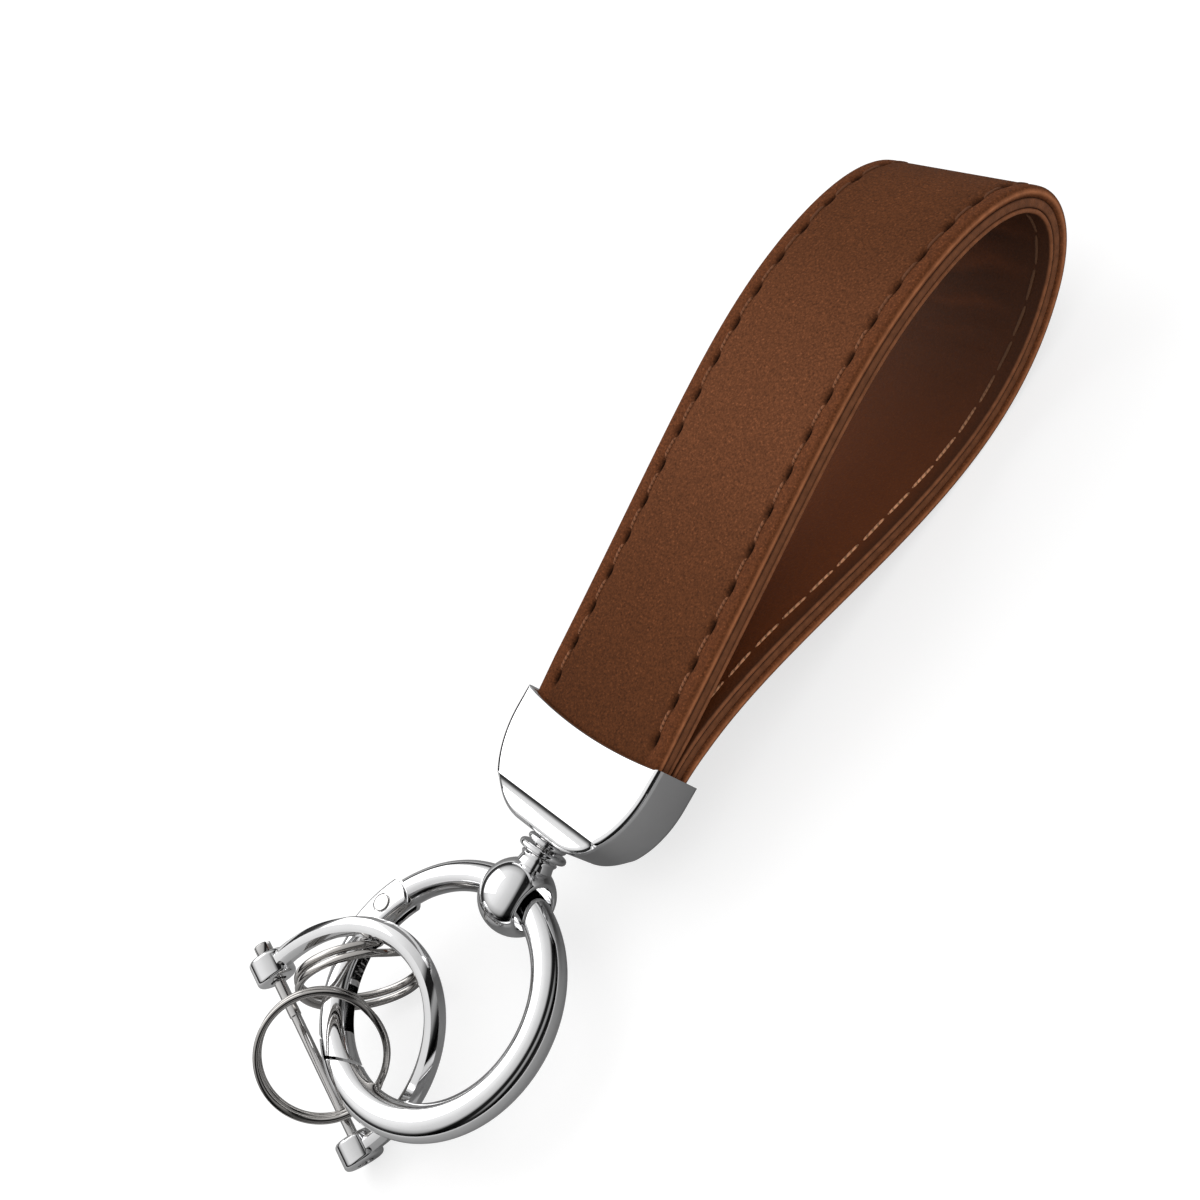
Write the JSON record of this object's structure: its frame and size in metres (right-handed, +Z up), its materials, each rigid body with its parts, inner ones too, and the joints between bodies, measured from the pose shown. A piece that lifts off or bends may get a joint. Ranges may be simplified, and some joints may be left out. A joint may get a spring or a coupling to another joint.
{
  "type": "keychain lanyard",
  "caption": "Folded leather strap loop in a polished metal cap, with a ball swivel, a spring-gate ring, a screw-pin shackle and split rings that hold keys.",
  "frame": {"origin": "centre of the object's box at floor level, with the object lying on its back", "axes": "+Y runs from the split rings to the strap's loop, +X across the strap, +Z up out of the strap's front face"},
  "size_m": [0.0442, 0.1508, 0.0289],
  "materials": {
    "brown_leather": "matte nubuck with painted edges",
    "dark_lining": "smooth dark lining",
    "leather_board": "raw board",
    "polished_chrome": "mirror polished",
    "bright_steel": "bright plated"
  },
  "bodies": {
    "strap": {"strap_outer": "brown_leather", "strap_core": "leather_board", "strap_lining": "dark_lining", "cap_shell": "polished_chrome", "retaining_pin_left": "bright_steel", "retaining_pin_right": "bright_steel", "swivel_collar": "polished_chrome"},
    "swivel": {"swivel_ball": "polished_chrome", "swivel_rivet": "bright_steel", "swivel_flange": "polished_chrome"},
    "gate_ring": {"ring_body": "polished_chrome", "gate_pin": "bright_steel"},
    "gate": {"gate": "polished_chrome", "gate_spring": "bright_steel", "gate_plunger": "bright_steel"},
    "shackle": {"shackle_bow": "polished_chrome"},
    "screw": {"shackle_screw": "bright_steel"},
    "split_front": {"split_ring_front": "bright_steel"},
    "split_rear": {"split_ring_rear": "bright_steel"}
  },
  "joints": [
    {"name": "swivel_spin", "type": "hinge", "parent": "strap", "child": "swivel", "pos_m": [0.0047, -0.03492, 0.00876], "axis": [0, 0.9876, 0.1573], "continuous": true},
    {"name": "ring_swing", "type": "hinge", "parent": "swivel", "child": "gate_ring", "pos_m": [0.0047, -0.03492, 0.00876], "axis": [0.9954, 0.0151, -0.0947], "range_deg": [-115, 115]},
    {"name": "gate_open", "type": "hinge", "parent": "gate_ring", "child": "gate", "pos_m": [-0.0109, -0.04653, 0.01054], "axis": [0.0942, 0.026, 0.9952], "range_deg": [0, 12], "stiffness_Nm_per_rad": 0.1, "springref_deg": -2.86},
    {"name": "shackle_swing", "type": "hinge", "parent": "gate_ring", "child": "shackle", "pos_m": [-0.00624, -0.06184, 0.0105], "axis": [0.737, -0.6739, -0.0522], "range_deg": [-20, 2]},
    {"name": "screw_withdraw", "type": "slide", "parent": "shackle", "child": "screw", "axis": [-0.8266, 0.3814, 0.4139], "range_m": [0, 0.028]},
    {"name": "split_front_swing", "type": "hinge", "parent": "gate_ring", "child": "split_front", "pos_m": [-0.00114, -0.06495, 0.0101], "axis": [0.9343, -0.3474, -0.0794], "range_deg": [-95, 4]},
    {"name": "split_rear_swing", "type": "hinge", "parent": "gate_ring", "child": "split_rear", "pos_m": [-0.00969, -0.05727, 0.01071], "axis": [0.4466, -0.8945, -0.0189], "range_deg": [-18, 7]}
  ]
}
